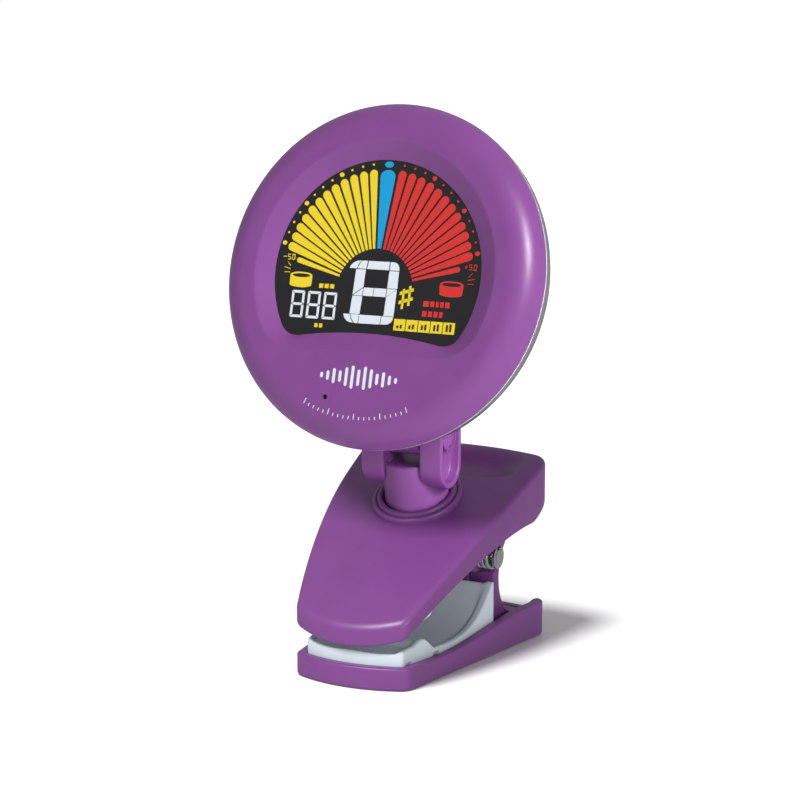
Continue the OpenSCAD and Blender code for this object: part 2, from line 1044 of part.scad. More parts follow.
lower_jaw();
jaw_insert();
pivot_pin();
pin_clip();
spring_left();
spring_right();
upper_jaw();
upper_pad();
swivel_yoke();
swivel_screw();
swivel_washer();
wave_washer();
tilt_screw();
tilt_nut();
tilt_washers();
front_bezel();
trim_ring();
back_cover();
display_lens();
lcd_panel();
light_diffuser();
backlight_leds();
zebra_strips();
circuit_board();
controller_chip();
small_parts();
microphone();
buzzer();
piezo_pickup();
tact_switches();
coin_cell();
cell_spring();
cell_rim_contact();
case_screws();
battery_door();
door_seal();
power_button();
mode_button();
up_button();
down_button();
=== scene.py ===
"""Looks of a clip-on tuner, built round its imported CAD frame. Lengths are in mm unless a name says otherwise."""

import json
import math

import bmesh
import bpy
import numpy as np
from mathutils import Matrix, Vector


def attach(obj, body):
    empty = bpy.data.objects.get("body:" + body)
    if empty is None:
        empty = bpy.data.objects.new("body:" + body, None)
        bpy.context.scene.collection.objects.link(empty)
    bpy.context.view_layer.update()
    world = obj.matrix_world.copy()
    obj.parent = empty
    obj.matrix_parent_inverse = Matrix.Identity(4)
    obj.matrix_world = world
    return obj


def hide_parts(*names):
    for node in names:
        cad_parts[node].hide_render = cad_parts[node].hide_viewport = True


MM = 0.001
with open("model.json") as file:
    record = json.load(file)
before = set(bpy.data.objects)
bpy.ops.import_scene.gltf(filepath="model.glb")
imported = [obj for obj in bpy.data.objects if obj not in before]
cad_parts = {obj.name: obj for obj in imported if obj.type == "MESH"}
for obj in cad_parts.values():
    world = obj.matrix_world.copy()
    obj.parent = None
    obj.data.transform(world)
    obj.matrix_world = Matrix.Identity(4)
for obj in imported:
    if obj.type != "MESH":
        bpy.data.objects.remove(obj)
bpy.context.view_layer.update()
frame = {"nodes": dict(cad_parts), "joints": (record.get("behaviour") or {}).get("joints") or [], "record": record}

# ---- Places taken from the frame -------------------------------------------

joints = {j["name"]: j for j in frame["joints"]}
X_AXIS = np.array([1.0, 0.0, 0.0])


def joint_point(name):
    return np.array(joints[name]["pos_m"]) / MM


def joint_axis(name):
    a = np.array(joints[name]["axis"], float)
    return a / np.linalg.norm(a)


class Place:
    """A local frame: its points are origin + x X + y Y + z Z."""

    def __init__(self, origin, z):
        self.origin = np.array(origin, float)
        z = np.array(z, float)
        self.rows = np.array([X_AXIS, np.cross(z, X_AXIS), z])

    def out(self, points):
        return self.origin + np.array(points, float) @ self.rows


HINGE_BELOW = 23.55
HINGE_BEHIND = 16.76
DISPLAY_OUT = joint_axis("door_turn")
DISPLAY_UP = np.cross(DISPLAY_OUT, X_AXIS)
TILT = joint_point("head_tilt")
WORLD = Place((0, 0, 0), (0, 0, 1))
HEAD = Place(TILT + HINGE_BELOW * DISPLAY_UP + HINGE_BEHIND * DISPLAY_OUT, DISPLAY_OUT)
POST = Place(joint_point("head_swivel"), joint_axis("head_swivel"))
COLLAR_LEAN = math.radians(24)
COLLAR = Place(POST.origin - np.array([0, 0, 0.2]), (0, -math.sin(COLLAR_LEAN), math.cos(COLLAR_LEAN)))
PIN = joint_point("clip_open")

# ---- Materials -------------------------------------------------------------

COAT_ROUGH = 0.06
GRAIN_DEPTH = 0.00002  # in metres


def linear(rgb):
    """Linear values of an sRGB colour given as 0 to 255."""
    return tuple(((c / 255 + 0.055) / 1.055) ** 2.4 if c > 10 else c / 255 / 12.92 for c in rgb)


def material(name, rgb, rough, metal=0.0, vary=0.06, scale=260.0, grain=0.0, grain_scale=2600.0,
             coat=0.0, spec=0.5, rough_vary=0.05, brushed=None):
    """A finish with soft colour variation, uneven gloss and a fine moulded or machined grain."""
    m = bpy.data.materials.new(name)
    m.use_nodes = True
    nt = m.node_tree
    bsdf = nt.nodes["Principled BSDF"]
    base = linear(rgb)
    bsdf.inputs["Metallic"].default_value = metal
    bsdf.inputs["Specular IOR Level"].default_value = spec
    bsdf.inputs["Coat Weight"].default_value = coat
    bsdf.inputs["Coat Roughness"].default_value = COAT_ROUGH
    coords = nt.nodes.new("ShaderNodeTexCoord")
    mapping = nt.nodes.new("ShaderNodeMapping")
    mapping.inputs["Scale"].default_value = brushed or (1, 1, 1)
    nt.links.new(coords.outputs["Object"], mapping.inputs["Vector"])

    def noise(size, detail):
        n = nt.nodes.new("ShaderNodeTexNoise")
        n.inputs["Scale"].default_value = size
        n.inputs["Detail"].default_value = detail
        nt.links.new(mapping.outputs["Vector"], n.inputs["Vector"])
        return n

    soft = noise(scale, 3)
    ramp = nt.nodes.new("ShaderNodeValToRGB")
    ramp.color_ramp.elements[0].position = 0.3
    ramp.color_ramp.elements[1].position = 0.7
    ramp.color_ramp.elements[0].color = tuple(c * (1 - vary) for c in base) + (1,)
    ramp.color_ramp.elements[1].color = tuple(min(1, c * (1 + vary)) for c in base) + (1,)
    nt.links.new(soft.outputs["Fac"], ramp.inputs["Fac"])
    nt.links.new(ramp.outputs["Color"], bsdf.inputs["Base Color"])
    smear = noise(scale * 2.3, 4)
    gloss = nt.nodes.new("ShaderNodeMapRange")
    gloss.inputs["To Min"].default_value = rough - rough_vary
    gloss.inputs["To Max"].default_value = rough + rough_vary
    nt.links.new(smear.outputs["Fac"], gloss.inputs["Value"])
    nt.links.new(gloss.outputs["Result"], bsdf.inputs["Roughness"])
    if grain:
        fine = noise(grain_scale, 2)
        bump = nt.nodes.new("ShaderNodeBump")
        bump.inputs["Strength"].default_value = grain
        bump.inputs["Distance"].default_value = GRAIN_DEPTH
        nt.links.new(fine.outputs["Fac"], bump.inputs["Height"])
        nt.links.new(bump.outputs["Normal"], bsdf.inputs["Normal"])
    return m


MAT = {
    "case": material("case_purple", (124, 66, 136), 0.36, vary=0.04, scale=180, grain=0.08, spec=0.5),
    # A darker copy of the case's purple: painted shade that offsets the extra lamps falling on the clip.
    "clip": material("clip_purple_painted_shade", (112, 59, 124), 0.38, vary=0.04, scale=180, grain=0.09, spec=0.45),
    "back": material("back_purple", (84, 45, 98), 0.38, vary=0.05, scale=180, grain=0.10),
    "pale": material("insert_pale", (192, 203, 209), 0.42, vary=0.03, scale=200, grain=0.10),
    "trim": material("trim_silver", (176, 178, 186), 0.30, metal=0.85, vary=0.02, scale=90, rough_vary=0.02,
                     grain=0.03, brushed=(1, 1, 8)),
    # A near-white copy of the trim's silver: a painted highlight along the trim's front lip.
    "lip": material("trim_painted_highlight", (240, 240, 244), 0.22, metal=0.25, vary=0.02, grain=0.03),
    "steel": material("bright_steel", (200, 202, 206), 0.24, metal=1.0, vary=0.05, grain=0.06,
                      grain_scale=1800, brushed=(1, 1, 6)),
    "spring": material("spring_steel", (206, 208, 212), 0.20, metal=1.0, vary=0.06, grain=0.05,
                       grain_scale=2400, brushed=(8, 1, 1)),
    "lens": material("lens_black", (26, 26, 28), 0.10, vary=0.10, grain=0.01, coat=0.3, spec=0.35,
                     rough_vary=0.02),
    "lcd": material("lcd_glass", (60, 66, 64), 0.15, vary=0.05, grain=0.02),
    "white": material("diffuser_white", (238, 238, 232), 0.45, vary=0.03, grain=0.08),
    "led": material("led_white", (245, 240, 205), 0.30, vary=0.04, grain=0.04),
    "rubber": material("zebra_rubber", (70, 70, 76), 0.65, vary=0.12, scale=900, grain=0.25,
                       brushed=(1, 1, 0.1)),
    "board": material("board_green", (28, 92, 54), 0.35, vary=0.16, scale=420, grain=0.12, coat=0.2),
    "chip": material("chip_black", (30, 30, 32), 0.55, vary=0.10, grain=0.20),
    "tan": material("parts_tan", (176, 150, 112), 0.45, vary=0.12, grain=0.12),
    "can": material("mic_can", (190, 192, 196), 0.30, metal=0.9, vary=0.05, grain=0.08),
    "gold": material("brass_gold", (206, 170, 92), 0.26, metal=1.0, vary=0.06, grain=0.06,
                     brushed=(6, 1, 1)),
    "cell": material("cell_steel", (206, 207, 210), 0.26, metal=1.0, vary=0.05, grain=0.08,
                     brushed=(5, 1, 1)),
    "seal": material("seal_rubber", (34, 34, 36), 0.60, vary=0.10, grain=0.20),
    "key": material("button_grey", (196, 198, 204), 0.45, vary=0.05, grain=0.16),
    "ink_white": material("ink_white", (214, 220, 229), 0.30, vary=0.02, coat=0.2),
    "ink_yellow": material("ink_yellow", (226, 200, 32), 0.30, vary=0.02, coat=0.2),
    "ink_red": material("ink_red", (202, 42, 38), 0.30, vary=0.02, coat=0.2),
    "ink_blue": material("ink_blue", (0, 148, 204), 0.30, vary=0.02, coat=0.2),
    "ink_black": material("ink_black", (24, 24, 26), 0.30, vary=0.04, coat=0.2),
    "floor": material("floor_white", (252, 252, 252), 0.16, vary=0.004, scale=6, rough_vary=0.02),
}

# ---- Mesh building ---------------------------------------------------------

RIDERS = {}


def piece(name, verts, faces, mat, body, slot, place=WORLD, replaces=(), crease=32, merge=1e-4):
    """A closed mesh from points in mm in a local frame, riding on a CAD body."""
    mesh = bpy.data.meshes.new(name)
    mesh.from_pydata((place.out(verts) * MM).tolist(), [], [tuple(f) for f in faces])
    bm = bmesh.new()
    bm.from_mesh(mesh)
    bmesh.ops.remove_doubles(bm, verts=bm.verts, dist=merge * MM)
    bmesh.ops.dissolve_degenerate(bm, edges=bm.edges, dist=merge * MM)
    bmesh.ops.recalc_face_normals(bm, faces=bm.faces)
    bm.to_mesh(mesh)
    bm.free()
    obj = bpy.data.objects.new(name, mesh)
    bpy.context.scene.collection.objects.link(obj)
    mesh.materials.append(mat)
    shade(obj, crease)
    if body:
        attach(obj, body)
        RIDERS[name] = body
    if replaces:
        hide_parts(*replaces)
    return obj


def shade(obj, crease=32):
    obj.data.shade_smooth()
    obj.data.set_sharp_from_angle(angle=math.radians(crease))


def bake(obj, crease=32):
    """Applies the object's modifiers to its mesh."""
    graph = bpy.context.evaluated_depsgraph_get()
    done = bpy.data.meshes.new_from_object(obj.evaluated_get(graph))
    obj.modifiers.clear()
    old = obj.data
    obj.data = done
    bpy.data.meshes.remove(old)
    shade(obj, crease)


def rounded(obj, width, crease=32):
    """Rounds the object's sharp edges by width."""
    mod = obj.modifiers.new("edges", "BEVEL")
    mod.width = width * MM
    mod.segments = 3
    mod.limit_method = "ANGLE"
    mod.angle_limit = math.radians(35)
    mod.harden_normals = False
    bake(obj, crease)
    return obj


def cut(obj, verts, faces, place=WORLD, crease=32):
    """Takes a closed shape out of the object."""
    tool = piece("tool", verts, faces, MAT["case"], None, None, place)
    mod = obj.modifiers.new("cut", "BOOLEAN")
    mod.operation = "DIFFERENCE"
    mod.solver = "EXACT"
    mod.object = tool
    bake(obj, crease)
    bpy.data.objects.remove(tool)
    return obj


def skin(rings, loop=False):
    """Quads between rings of equal length; a ring of one point is a pole."""
    starts = np.cumsum([0] + [len(r) for r in rings])
    faces = []
    pairs = [(i, i + 1) for i in range(len(rings) - 1)] + ([(len(rings) - 1, 0)] if loop else [])
    for a, b in pairs:
        na, nb = len(rings[a]), len(rings[b])
        n = max(na, nb)
        for i in range(n):
            j = (i + 1) % n
            if na == 1:
                faces.append((starts[a], starts[b] + i, starts[b] + j))
            elif nb == 1:
                faces.append((starts[a] + i, starts[b], starts[a] + j))
            else:
                faces.append((starts[a] + i, starts[b] + i, starts[b] + j, starts[a] + j))
    return np.concatenate([np.array(r, float) for r in rings]), faces


def revolve(profile, n=96, centre=(0, 0)):
    """A profile of (radius, height) points turned about the local Z; closed by its axis or by itself."""
    turn = np.linspace(0, 2 * math.pi, n, endpoint=False)
    rings = []
    for r, z in profile:
        if r < 1e-6:
            rings.append([(centre[0], centre[1], z)])
        else:
            rings.append(np.stack([centre[0] + r * np.cos(turn), centre[1] + r * np.sin(turn),
                                   np.full(n, z)], axis=1))
    return skin(rings, loop=profile[0][0] > 1e-6)


def box(x0, y0, x1, y1):
    return [(x0, y0), (x1, y0), (x1, y1), (x0, y1)]


def prism(outline, z0, z1):
    """A flat outline raised from z0 to z1."""
    n = len(outline)
    low = [(x, y, z0) for x, y in outline]
    high = [(x, y, z1) for x, y in outline]
    sides = [(i, (i + 1) % n, n + (i + 1) % n, n + i) for i in range(n)]
    return low + high, [tuple(range(n)), tuple(range(2 * n - 1, n - 1, -1))] + sides


def slab(outline, x0, x1):
    """A side outline of (y, z) points as a plate from x0 to x1."""
    verts, faces = prism(outline, x0, x1)
    return [(z, x, y) for x, y, z in verts], faces


def joined(parts):
    """Several (verts, faces) as one."""
    verts, faces, at = [], [], 0
    for v, f in parts:
        verts.extend([tuple(p) for p in v])
        faces.extend([tuple(i + at for i in face) for face in f])
        at += len(v)
    return verts, faces


def arc(cx, cy, r, a0, a1, n, end=True):
    """Points of an arc, angles in degrees."""
    t = np.radians(np.linspace(a0, a1, n, endpoint=end))
    return [(cx + r * math.cos(a), cy + r * math.sin(a)) for a in t]


def tube(path, r, n=12):
    """A round wire along a path, with closed ends."""
    path = np.array(path, float)
    rings = [[path[0]]]
    side = None
    for i, p in enumerate(path):
        t = path[min(i + 1, len(path) - 1)] - path[max(i - 1, 0)]
        t /= np.linalg.norm(t)
        if side is None:
            side = np.cross(t, [0.3, 0.5, 0.8])
        side = side - t * (side @ t)
        side /= np.linalg.norm(side)
        up = np.cross(t, side)
        turn = np.linspace(0, 2 * math.pi, n, endpoint=False)[:, None]
        rings.append(p + r * (np.cos(turn) * side + np.sin(turn) * up))
    rings.append([path[-1]])
    return skin(rings)


def ease(a, b, x):
    """0 below a, 1 above b, smooth between."""
    t = np.clip((x - a) / (b - a), 0, 1)
    return t * t * (3 - 2 * t)


def smax(a, b, k):
    """The larger of two values, blended where they are within k of each other."""
    h = np.clip(k - np.abs(a - b), 0, None) / k
    return np.maximum(a, b) + h * h * k / 4


# ---- Jaw shapes ------------------------------------------------------------

HALF_L = 22.5
BOW_R, CORNER_R, MOUTH_HALF = 22.9, 2.5, 10.5
REAR_BOW_R = 60.0
BASE_PLAN = dict(half=16.5, corner=2.0, side_r=3000.0)
LEVER_PLAN = dict(half=17.3, corner=4.0, side_r=135.0)


def shield(o=0.0, back=None, plan=BASE_PLAN):
    """A jaw's plan drawn in by o, all round from the middle of the mouth; back cuts it straight across."""
    mouth_x = MOUTH_HALF - CORNER_R
    bow = math.asin(mouth_x / (BOW_R - CORNER_R))
    mouth = np.array([mouth_x, -HALF_L + BOW_R - (BOW_R - CORNER_R) * math.cos(bow)])
    fr, sr = plan["corner"], plan["side_r"]
    fx = plan["half"] - fr
    rear = math.asin(fx / (REAR_BOW_R - fr))
    finger = np.array([fx, HALF_L - REAR_BOW_R + (REAR_BOW_R - fr) * math.cos(rear)])
    d = np.linalg.norm(finger - mouth)
    u = (finger - mouth) / d
    a = ((sr - CORNER_R) ** 2 - (sr - fr) ** 2 + d * d) / (2 * d)
    c = mouth + a * u + math.sqrt((sr - CORNER_R) ** 2 - a * a) * np.array([-u[1], u[0]])
    a0 = math.degrees(math.atan2(*(mouth - c)[::-1]))
    a1 = math.degrees(math.atan2(*(finger - c)[::-1]))
    if back is not None:
        a1 = math.degrees(math.asin((back - o - c[1]) / (sr - o)))
    half = arc(0, -HALF_L + BOW_R, BOW_R - o, -90, -90 + math.degrees(bow), 12, False)
    half += arc(*mouth, CORNER_R - o, -90 + math.degrees(bow), a0, 10, False)
    half += arc(*c, sr - o, a0, a1, 44)
    if back is None:
        half += arc(*finger, fr - o, a1, 90 - math.degrees(rear), 14)[1:]
        half += arc(0, HALF_L - REAR_BOW_R, REAR_BOW_R - o, 90 - math.degrees(rear), 90, 16)[1:]
    else:
        x, y = half[-1]
        half += [(x * (1 - i / 16), y) for i in range(1, 17)]
    return np.array(half + [(-x, y) for x, y in half[-2:0:-1]])


TOP_R, TOP_Y, TOP_Z = 118.0, 50.0, -83.0


def base_half(y):
    """Half width of the lower jaw."""
    return 13.53 + 0.1425 * y


def lever_half(y):
    """Half width of the upper jaw."""
    return 14.85 + 0.148 * y - 0.0037 * y * y


def crest(x, y, t=0.0):
    """Height of the crowned top, lowered by t; the crown fades towards the finger end."""
    crown = x ** 2 / 240 * (1 - 0.7 * ease(-14, 12, y))
    lift = 0.5 * ease(10, 20, y) * (x / lever_half(y)) ** 2
    return TOP_Z + np.sqrt((TOP_R - t) ** 2 - (y - TOP_Y) ** 2) - crown + lift


def dish(x, y):
    """Depth of the finger dish: a sharp front edge that eases up to the rear lip."""
    e = (np.abs(x / 14.2) ** 3 + np.abs((y - 16.0) / 4.9) ** 3) ** (1 / 3)
    start = 0.84 - 0.5 * np.clip((y - 11.2) / 9.6, 0, 1)
    return 1.9 * (1 - ease(start, 1.0, e))


def with_z(flat, z):
    return np.column_stack([flat, z])


def field_rings(edge, height, scales, centre=(0, 2)):
    """Rings that fill the inside of an edge, from its centre outwards, on a height field."""
    c = np.array(centre, float)
    rings = [[(c[0], c[1], float(height(c[0], c[1])))]]
    for s in scales:
        flat = c + s * (edge - c)
        rings.append(with_z(flat, height(flat[:, 0], flat[:, 1])))
    return rings


# ---- Clip ------------------------------------------------------------------

JAW_WALL = 1.8
SHELL_EDGE = 0.75


def jaw_low(y):
    """Height of the upper jaw's lower edge: a long rise that flattens, then a step up to the fingers."""
    return 20.9 - 0.0222 * np.clip(13.5 - y, 0, None) ** 1.8 + 4.9 * ease(13, 23, y)


def upper_jaw():
    def lever(o):
        return shield(o, plan=LEVER_PLAN)

    def top(x, y):
        return crest(x, y) - dish(x, y)

    def ceiling(x, y):
        return crest(x, y, JAW_WALL) - 1.2 * dish(x, y)

    rings = field_rings(lever(SHELL_EDGE), top, np.linspace(0.03, 1, 56))
    for a in np.radians(np.linspace(12, 90, 7)):
        flat = lever(SHELL_EDGE * (1 - math.sin(a)))
        rings.append(with_z(flat, top(flat[:, 0], flat[:, 1]) - SHELL_EDGE * (1 - math.cos(a))))
    outer = lever(0)
    inner = lever(JAW_WALL)
    high = crest(outer[:, 0], outer[:, 1]) - SHELL_EDGE
    low = jaw_low(outer[:, 1])
    rim = 0.45
    for f in (0.33, 0.66):
        rings.append(with_z(outer, high + (low + rim - high) * f))
    for a in np.radians(np.linspace(0, 90, 5)):
        flat = lever(rim * (1 - math.cos(a)))
        rings.append(with_z(flat, low + rim * (1 - math.sin(a))))
    for a in np.radians(np.linspace(90, 0, 5)):
        flat = lever(JAW_WALL - rim * (1 - math.cos(a)))
        rings.append(with_z(flat, low + rim * (1 - math.sin(a))))
    under = ceiling(inner[:, 0], inner[:, 1])
    rings.append(with_z(inner, low + (under - low) * 0.6))
    rings += field_rings(inner, ceiling, np.linspace(0.05, 1, 22))[::-1]
    shell = piece("upper_jaw_shell", *skin(rings), MAT["clip"], "clip_lever", "case_purple",
                  replaces=("upper_jaw",), crease=40)
    cut(shell, *revolve([(0, -4), (5.6, -4), (5.6, 6), (0, 6)], 64), POST, crease=40)
    ridges = [(5.7, -1.9), (7.72, -1.9), (7.72, 0.02)] + arc(7.22, 0.06, 0.5, 5, 140, 9)
    ridges += arc(6.25, 0.52, 0.55, 20, 180, 11)
    piece("swivel_collar", *revolve(ridges, 128), MAT["clip"], "clip_lever", "case_purple", COLLAR,
          crease=50)
    socket = [(3.05, -4.6), (6.4, -4.6), (6.4, -1.6), (5.62, -1.6), (5.62, -2.2), (3.05, -2.2)]
    piece("swivel_socket", *revolve(socket, 64), MAT["clip"], "clip_lever", "case_purple", POST)
    lug_r = 3.4
    lug = arc(PIN[1], PIN[2], lug_r, 180, 360, 24)
    lug += [(PIN[1] + lug_r, 23.5), (PIN[1] - lug_r, 22.0)]
    for side, sign in (("left", -1), ("right", 1)):
        ear = piece("lever_lug_" + side, *slab(lug, sign * 4.4, sign * 6.9), MAT["clip"], "clip_lever",
                    "case_purple")
        rounded(ear, 0.25)


BASE_FRONT, BASE_REAR = 3.5, 6.0
TRAY_FLOOR = 1.8
FINGER_FLOOR = 4.0
RIM = 1.6


def base_top(x, y):
    """Height of the tray's rim, which drops to the tray's floor along the finger end."""
    s = np.clip((y + 10) / 26, 0, 1)
    rim = BASE_FRONT + (BASE_REAR - BASE_FRONT) * s * s * (3 - 2 * s) + 0.25 * ease(-12, -22, y)
    open_rear = ease(18.5, 20.0, y) * (1 - ease(13.3, 14.3, np.abs(x)))
    return rim + (FINGER_FLOOR + 0.15 - rim) * open_rear


def lower_jaw():
    foot, top_edge = 0.5, 0.4
    outer = shield()
    rings = field_rings(shield(foot), lambda x, y: 0 * x, np.linspace(0.2, 1, 5))
    for a in np.radians(np.linspace(15, 90, 5)):
        flat = shield(foot * (1 - math.sin(a)))
        rings.append(with_z(flat, np.full(len(flat), foot * (1 - math.cos(a)))))
    high = base_top(outer[:, 0], outer[:, 1])
    for f in (0.35, 0.7):
        rings.append(with_z(outer, foot + (high - top_edge - foot) * f))
    for a in np.radians(np.linspace(0, 90, 6)):
        flat = shield(top_edge * (1 - math.cos(a)))
        rings.append(with_z(flat, base_top(flat[:, 0], flat[:, 1]) - top_edge * (1 - math.sin(a))))
    lip = 0.25
    for a in np.radians(np.linspace(90, 0, 5)):
        flat = shield(RIM - lip * (1 - math.cos(a)))
        rings.append(with_z(flat, base_top(flat[:, 0], flat[:, 1]) - lip * (1 - math.sin(a))))

    def floor(x, y):
        return TRAY_FLOOR + (FINGER_FLOOR - TRAY_FLOOR) * ease(8.9, 9.2, y)

    inner = shield(RIM)
    rings.append(with_z(inner, floor(inner[:, 0], inner[:, 1]) + 0.05))
    rings += field_rings(shield(RIM + 0.2), floor, np.linspace(0.05, 1, 40))[::-1]
    piece("lower_jaw_tray", *skin(rings), MAT["clip"], "clip_base", "case_purple",
          replaces=("lower_jaw",), crease=40)
    waist = arc(18.4, 11.5, 7.47, 124, 242, 30) + [(15.7, 4.45), (16.4, 4.15)]
    foot_side = [(16.4, TRAY_FLOOR), (8.8, TRAY_FLOOR), (8.8, 12.7)]
    side = foot_side + [(9.8, 13.6), (9.8, 19), (14.4, 19)] + waist
    low = foot_side + [p for p in waist if p[1] < 12.9]
    for name, sign in (("left", -1), ("right", 1)):
        plate = piece("upright_" + name, *slab(side, sign * 7.3, sign * 12.0), MAT["clip"], "clip_base",
                      "case_purple", crease=40)
        rounded(plate, 0.4, crease=40)
        eye = arc(PIN[1], PIN[2], 3.0, 90, 270, 20)
        eye += [(PIN[1] + 3.2, PIN[2] - 3), (PIN[1] + 3.2, PIN[2] + 3)]
        lug = piece("base_lug_" + name, *slab(eye, sign * 7.3, sign * 9.8), MAT["clip"], "clip_base",
                    "case_purple")
        rounded(lug, 0.3)
    web = piece("upright_web", *slab(low, -7.25, 7.25), MAT["clip"], "clip_base", "case_purple", crease=40)
    rounded(web, 0.3, crease=40)


def insert_top(y):
    """Height of the insert: a sloping lip, a ridge, a valley, and a rise to a level top."""
    lip = 5.85 + 0.05 * (y + 23) + 0.54 * ease(-15.8, -13.8, y)
    valley = 4.5 + 0.0031 * np.clip(y + 7, 0, None) ** 3
    return -smax(-(lip + (valley - lip) * ease(-13.4, -9.5, y)), -12.2, 0.8)


def jaw_insert():
    inset, back, edge = 1.75, 8.4, 0.4

    def dip(x, y):
        """The saddle between the two side rims."""
        inside = 1 - ease(base_half(y) - inset - 1.7, base_half(y) - inset - 0.9, np.abs(x))
        return 0.45 * inside * ease(-21.0, -19.8, y) * (1 - ease(6.3, 7.2, y))

    def top(x, y):
        return insert_top(y) - dip(x, y)

    rings = field_rings(shield(inset + edge, back), top, np.linspace(0.02, 1, 90), (0, -7))
    for a in np.radians(np.linspace(15, 90, 5)):
        flat = shield(inset + edge * (1 - math.sin(a)), back)
        rings.append(with_z(flat, top(flat[:, 0], flat[:, 1]) - edge * (1 - math.cos(a))))
    outer = shield(inset, back)
    rings.append(with_z(outer, np.full(len(outer), TRAY_FLOOR + 0.05)))
    rings.append([(0, -7, TRAY_FLOOR + 0.05)])
    body = piece("insert_saddle", *skin(rings), MAT["pale"], "clip_base", "insert_pale",
                 replaces=("jaw_insert",), crease=48)
    for y in (-17.4, -9.9):
        for sign in (-1, 1):
            x = sign * (base_half(y) - inset)
            cut(body, *prism(box(x - 0.8, y - 0.8, x + 0.8, y + 0.8), 1.5, 3.95), crease=48)


def spring_parts():
    coil_r, wire, pitch, turns, x0 = 1.95, 0.38, 0.86, 2.6, 10.5
    steps = 28  # to one turn
    for name, sign in (("left", -1), ("right", 1)):
        path = [(x0, PIN[1] - coil_r - 0.9, PIN[2] + 5.4), (x0, PIN[1] - coil_r - 0.25, PIN[2] + 1.8)]
        for i in range(int(turns * steps) + 8):
            a = math.pi + 2 * math.pi * i / steps
            path.append((x0 + pitch * i / steps, PIN[1] + coil_r * math.cos(a), PIN[2] + coil_r * math.sin(a)))
        last = path[-1]
        path.append((last[0], last[1] + 0.6, last[2] - 2.4))
        path = [(sign * x, y, z) for x, y, z in path]
        piece("torsion_spring_" + name, *tube(path, wire), MAT["spring"], "clip_base", "spring_steel",
              replaces=("spring_" + name,), crease=60)


# ---- Yoke ------------------------------------------------------------------


def stadium(r, drop, n=22):
    return arc(0, 0, r, 0, 180, n) + arc(0, -drop, r, 180, 360, n)


def yoke():
    ear_r, drop, ear_in, ear_out, rim, cup = 3.9, 4.95, 3.3, 7.4, 0.95, 1.6
    soft = 0.45
    levels = [(ear_r - soft * (1 - math.sin(a)), ear_in + soft * (1 - math.cos(a)))
              for a in np.radians(np.linspace(0, 90, 5))]
    levels += [(ear_r, (ear_in + ear_out) / 2)]
    edge = 0.3
    levels += [(ear_r - edge * (1 - math.cos(a)), ear_out - edge * (1 - math.sin(a)))
               for a in np.radians(np.linspace(0, 90, 5))]
    levels += [(ear_r - rim + edge * (1 - math.sin(a)), ear_out - edge * (1 - math.cos(a)))
               for a in np.radians(np.linspace(0, 90, 4))]
    levels += [(ear_r - rim, ear_out - cup + 0.2), (ear_r - rim - 0.2, ear_out - cup)]
    for name, sign in (("left", -1), ("right", 1)):
        rings = [[(sign * ear_in, 0, -drop / 2)]]
        for r, x in levels:
            rings.append([(sign * x, y, z) for y, z in stadium(r, drop)])
        rings.append([(sign * (ear_out - cup), 0, -drop / 2)])
        piece("yoke_ear_" + name, *skin(rings), MAT["case"], "yoke", "case_purple", Place(TILT, (0, 0, 1)),
              replaces=("swivel_yoke",) if sign > 0 else (), crease=45)
        hub = [(0, 0), (2.5, 0), (2.5, cup - 0.35), (2.3, cup - 0.2), (1.95, cup - 0.2), (1.9, cup - 0.6),
               (0, cup - 0.6)]
        verts, faces = revolve(hub, 48)
        verts = [(sign * (ear_out - cup + z), x, y) for x, y, z in verts]
        piece("yoke_hub_" + name, verts, faces, MAT["case"], "yoke", "case_purple",
              Place(TILT, (0, 0, 1)), crease=45)
    top = 7.1
    profile = [(0, top - 0.5), (4.2, top - 0.5), (4.45, top - 0.1), (4.7, top), (5.1, top - 0.02),
               (5.33, top - 0.15), (5.4, top - 0.4), (5.4, 1.6), (5.42, 0.9), (5.5, 0.35), (5.5, -1.9),
               (2.95, -1.9), (2.95, -5.1), (0, -5.1)]
    piece("yoke_post", *revolve(profile, 96), MAT["case"], "yoke", "case_purple", POST, crease=45)


# ---- Head ------------------------------------------------------------------

# The face is flat out to CREST_R and rounds off by EDGE_R; heights are above the seam of the two shells.
CREST_R, EDGE_R, FACE_Z = 23.4, 4.6, 4.5
WINDOW_R, WINDOW_LOW, WINDOW_BOW = 18.35, -9.65, 71.0
LENS_Z = 2.85
SPOKES = 384
SPIN = np.linspace(0, 2 * math.pi, SPOKES, endpoint=False)


def fan_edge(r, low, bow, k):
    """Distance from the head's centre to a fan outline: a circle cut by an arc that bulges up from low."""
    lo = np.zeros(SPOKES)
    hi = np.full(SPOKES, 30.0)
    for _ in range(40):
        mid = (lo + hi) / 2
        x, y = mid * np.cos(SPIN), mid * np.sin(SPIN)
        out = smax(mid - r, bow - np.hypot(x, y - low + bow), k)
        lo = np.where(out < 0, mid, lo)
        hi = np.where(out < 0, hi, mid)
    return lo


def face_z(r):
    """Height of the bezel's face at a distance from the head's centre."""
    out = np.clip(r - CREST_R, 0, None) / EDGE_R
    return EDGE_R * np.sqrt(np.clip(1 - out ** 2, 0, 1)) + FACE_Z - EDGE_R


def ring_at(r, z):
    r = np.broadcast_to(r, SPOKES)
    return np.column_stack([r * np.cos(SPIN), r * np.sin(SPIN), np.broadcast_to(z, SPOKES)])


WINDOW = fan_edge(WINDOW_R, WINDOW_LOW, WINDOW_BOW, 2.2)
RECESS = fan_edge(21.4, -12.9, 260.0, 5.0)
MIC_AT = (-5.56, -20.39)


